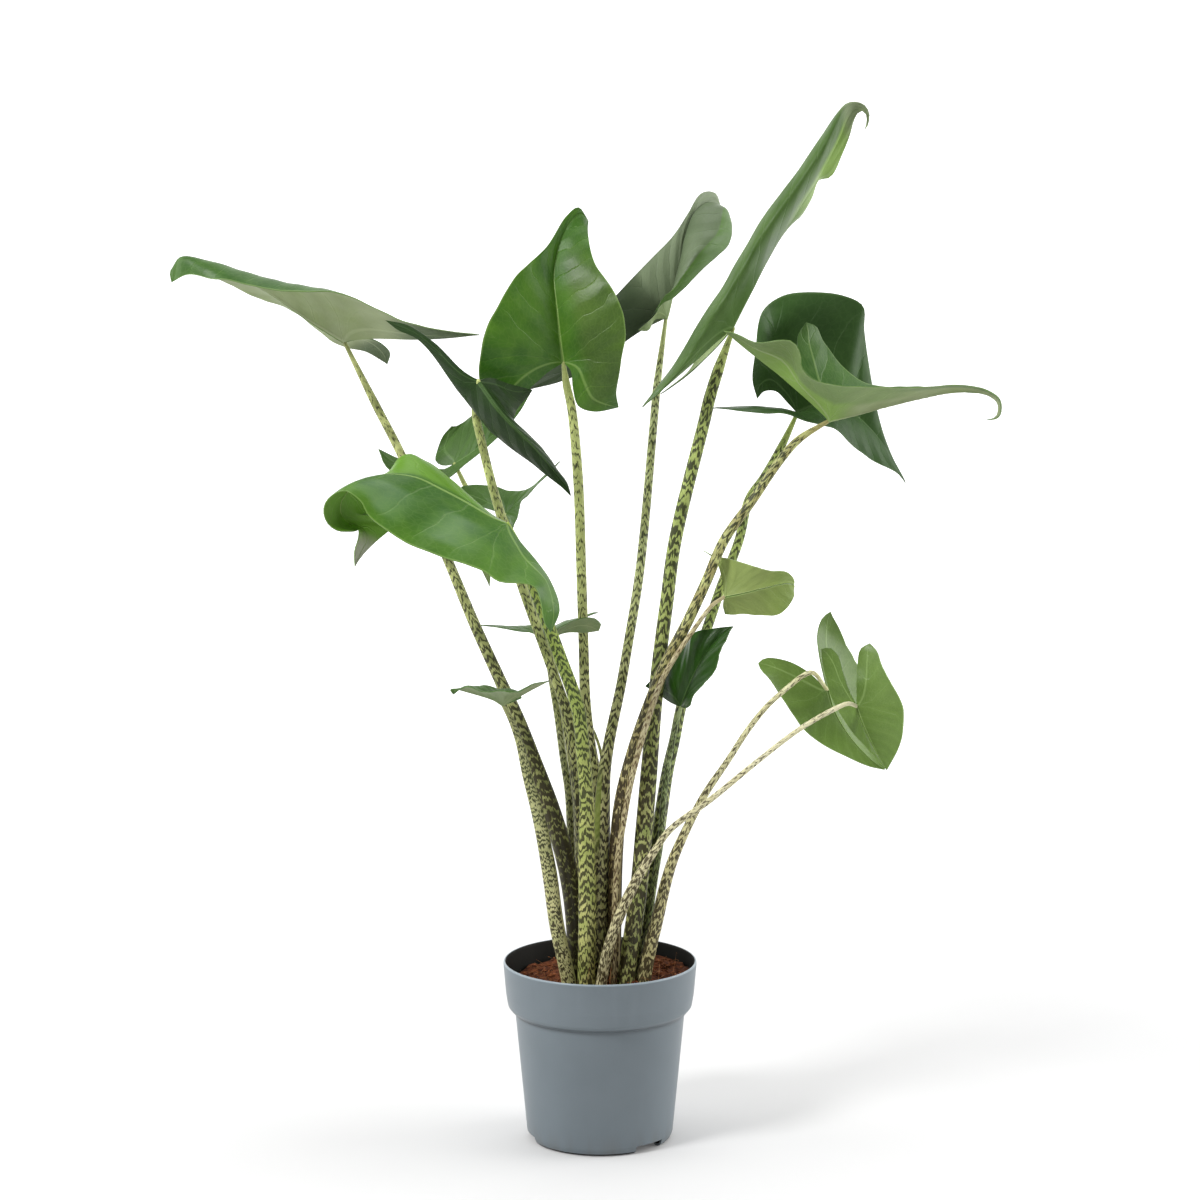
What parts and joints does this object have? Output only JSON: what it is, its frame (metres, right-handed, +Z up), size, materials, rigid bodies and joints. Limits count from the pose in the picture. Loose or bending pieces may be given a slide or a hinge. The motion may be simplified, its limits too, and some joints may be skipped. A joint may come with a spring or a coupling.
{
  "type": "potted zebrina alocasia",
  "caption": "Tall foliage plant with striped stalks and arrow-shaped blades, standing in coir in a round plastic nursery pot with a wide rim band.",
  "frame": {"origin": "middle of the pot's foot, on the ground plane", "axes": "+Z up, -Y the front that the picture shows, +X to the right as the picture shows it"},
  "size_m": [0.7943, 0.3853, 1.0116],
  "materials": {
    "pot": "fine matte, blue-grey, nearly black inside",
    "soil": "loose reddish-brown coir crumbs and fibres",
    "leaf": "satin green top with fine veins, paler underside",
    "petiole": "pale yellow-green with jagged dark brown bands"
  },
  "bodies": {
    "root": {"leaf_far_left": "leaf", "petiole_far_left": "petiole", "leaf_left_drooping": "leaf", "petiole_left_drooping": "petiole", "leaf_centre": "leaf", "petiole_centre": "petiole", "leaf_rear_centre": "leaf", "petiole_rear_centre": "petiole", "leaf_tallest": "leaf", "petiole_tallest": "petiole", "leaf_right_rear": "leaf", "petiole_right_rear": "petiole", "leaf_right_front": "leaf", "petiole_right_front": "petiole", "leaf_front_left": "leaf", "petiole_front_left": "petiole", "leaf_small_left_rear": "leaf", "petiole_small_left_rear": "petiole", "leaf_slim_left": "leaf", "petiole_slim_left": "petiole", "leaf_lowest_left": "leaf", "petiole_lowest_left": "petiole", "leaf_small_right": "leaf", "petiole_small_right": "petiole", "leaf_right_inner": "leaf", "petiole_right_inner": "petiole", "leaf_low_right_rear": "leaf", "petiole_low_right_rear": "petiole", "leaf_low_right_front": "leaf", "petiole_low_right_front": "petiole", "leaf_left_rear": "leaf", "petiole_left_rear": "petiole", "pot": "pot", "soil": "soil"}
  },
  "joints": []
}
